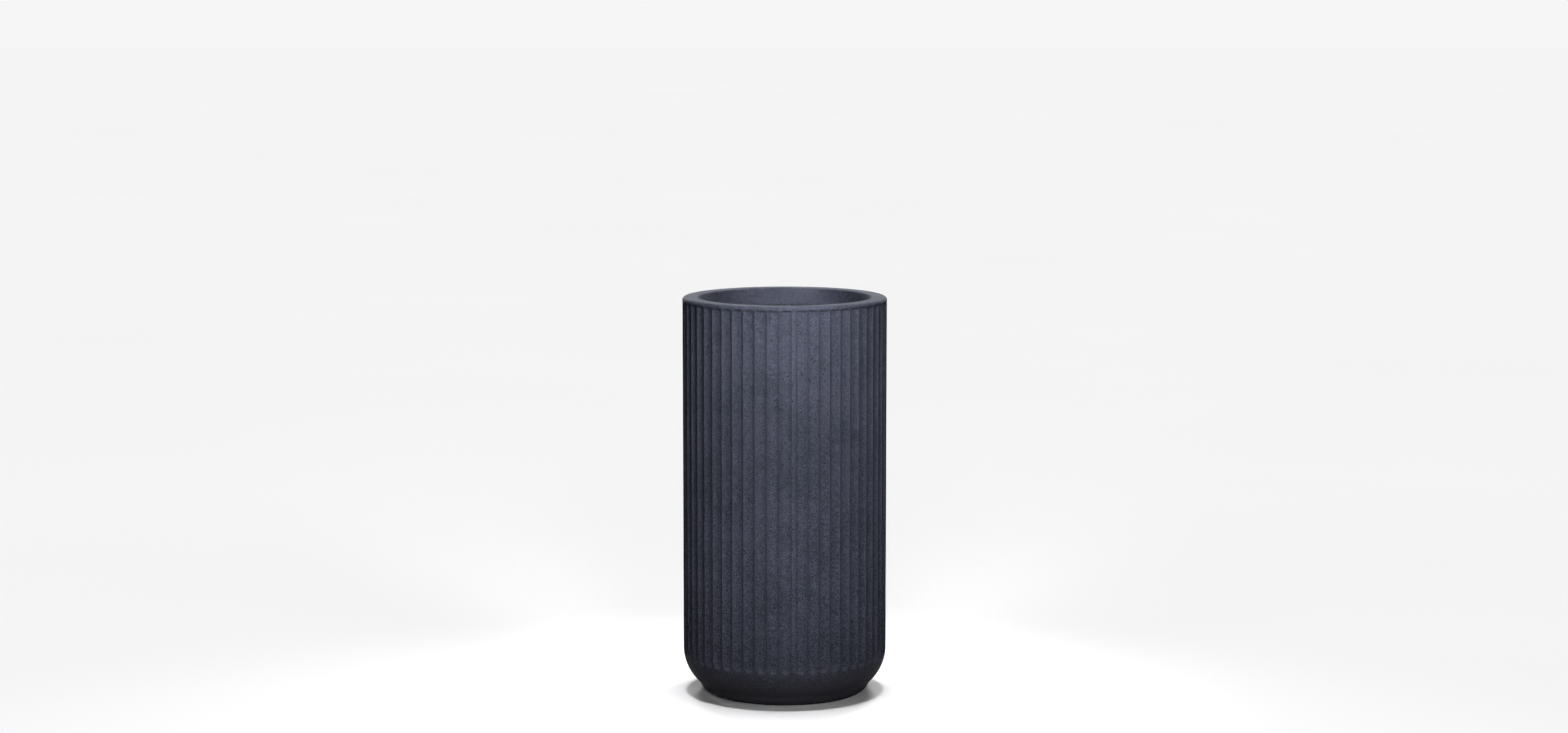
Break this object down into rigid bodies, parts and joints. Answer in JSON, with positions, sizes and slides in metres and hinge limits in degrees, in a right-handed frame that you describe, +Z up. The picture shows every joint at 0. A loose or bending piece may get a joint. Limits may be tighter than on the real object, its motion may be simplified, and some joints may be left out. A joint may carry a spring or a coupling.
{
  "type": "floor planter",
  "caption": "Tall round fluted fibreglass floor planter with a flat rolled rim, a rounded heel on a low foot ring, a laminated floor and a lift-out rubber drain plug.",
  "frame": {"origin": "on the ground under the centre of the planter", "axes": "+Z up along the planter's axis; -Y towards the viewer of the picture; +X to that viewer's right"},
  "size_m": [0.307, 0.307, 0.6],
  "materials": {
    "stone_gelcoat": "matte slate blue-grey gelcoat filled with stone powder, finely pitted and lightly flecked",
    "raw_laminate": "matte dark resin over chopped glass mat, uneven to the touch",
    "plug_rubber": "satin black moulded rubber"
  },
  "bodies": {
    "planter": {"fluted_half_right": "stone_gelcoat", "fluted_half_left": "stone_gelcoat", "rim_collar": "stone_gelcoat", "foot_ring": "stone_gelcoat", "floor_disc": "raw_laminate", "joint_strip_front": "raw_laminate", "joint_strip_back": "raw_laminate"},
    "plug": {"drain_plug": "plug_rubber"}
  },
  "joints": [
    {"name": "plug_lift", "type": "slide", "parent": "planter", "child": "plug", "axis": [0, 0, 1], "range_m": [0, 0.62]}
  ]
}
